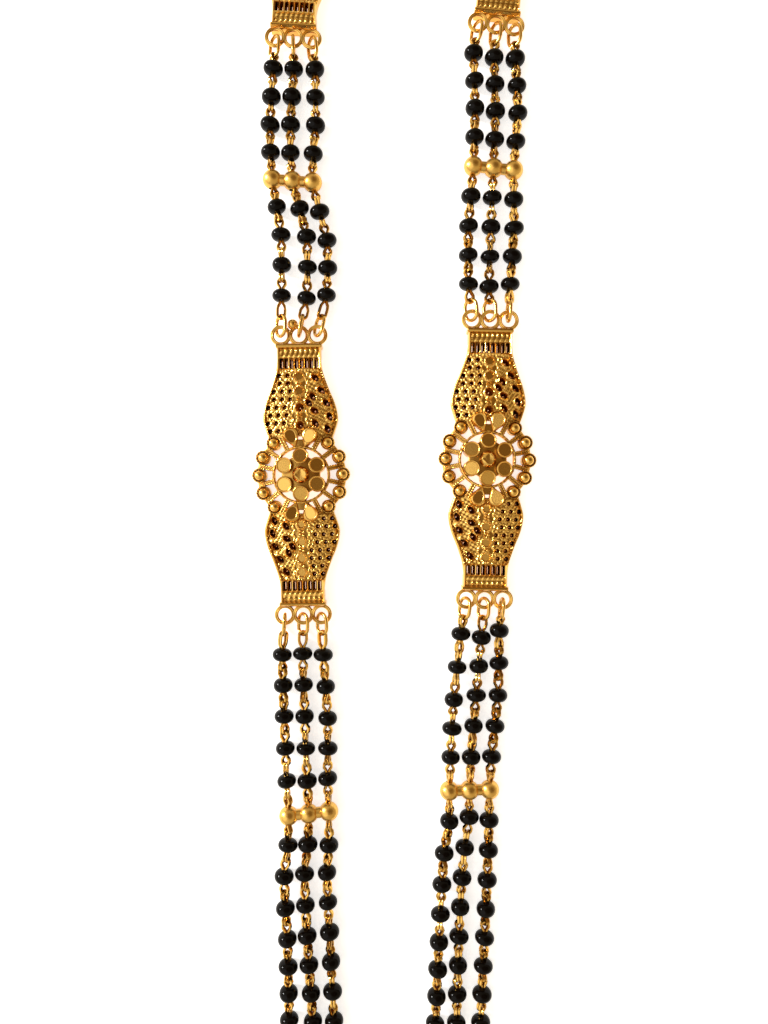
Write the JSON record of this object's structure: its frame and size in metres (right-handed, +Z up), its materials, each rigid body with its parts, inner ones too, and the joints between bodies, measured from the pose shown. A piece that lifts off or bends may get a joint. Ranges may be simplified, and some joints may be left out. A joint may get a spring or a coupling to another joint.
{
  "type": "beaded necklace",
  "caption": "Multi-strand black-bead mangalsutra necklace with pierced filigree plaques, jump rings, spacer bars and a plain clasp, lying flat as a closed loop.",
  "frame": {"origin": "middle of the loop's box, on the surface that it lies on", "axes": "+Z up from that surface, +Y along the loop towards the clasp, +X across the loop"},
  "size_m": [0.0498, 0.2606, 0.0031],
  "materials": {
    "cast_gold": "cast, bright edges",
    "ring_gold": "polished wire",
    "chain_gold": "fine wire",
    "satin_gold": "satin",
    "clasp_gold": "satin",
    "black_glass": "gloss"
  },
  "bodies": {
    "root": {"plaque_left_upper": "cast_gold", "plaque_left_middle": "cast_gold", "plaque_right_middle": "cast_gold", "plaque_right_upper": "cast_gold", "spacer_left_top": "satin_gold", "spacer_left_upper": "satin_gold", "spacer_left_lower": "satin_gold", "spacer_right_lower": "satin_gold", "spacer_right_upper": "satin_gold", "spacer_right_top": "satin_gold", "chain_left_top_outer": "chain_gold", "chain_left_top_middle": "chain_gold", "chain_left_top_inner": "chain_gold", "chain_left_upper_outer": "chain_gold", "chain_left_upper_middle": "chain_gold", "chain_left_upper_inner": "chain_gold", "chain_lower_outer": "chain_gold", "chain_lower_middle": "chain_gold", "chain_lower_inner": "chain_gold", "chain_right_upper_outer": "chain_gold", "chain_right_upper_middle": "chain_gold", "chain_right_upper_inner": "chain_gold", "chain_right_top_outer": "chain_gold", "chain_right_top_middle": "chain_gold", "chain_right_top_inner": "chain_gold", "beads_left_top_outer": "black_glass", "beads_left_top_middle": "black_glass", "beads_left_top_inner": "black_glass", "beads_left_upper_outer": "black_glass", "beads_left_upper_middle": "black_glass", "beads_left_upper_inner": "black_glass", "beads_lower_outer": "black_glass", "beads_lower_middle": "black_glass", "beads_lower_inner": "black_glass", "beads_right_upper_outer": "black_glass", "beads_right_upper_middle": "black_glass", "beads_right_upper_inner": "black_glass", "beads_right_top_outer": "black_glass", "beads_right_top_middle": "black_glass", "beads_right_top_inner": "black_glass", "rings_clasp_left": "ring_gold", "rings_left_upper_top": "ring_gold", "rings_left_upper_bottom": "ring_gold", "rings_left_middle_top": "ring_gold", "rings_left_middle_bottom": "ring_gold", "rings_right_middle_bottom": "ring_gold", "rings_right_middle_top": "ring_gold", "rings_right_upper_bottom": "ring_gold", "rings_right_upper_top": "ring_gold", "rings_clasp_right": "ring_gold", "clasp": "clasp_gold"}
  },
  "joints": []
}
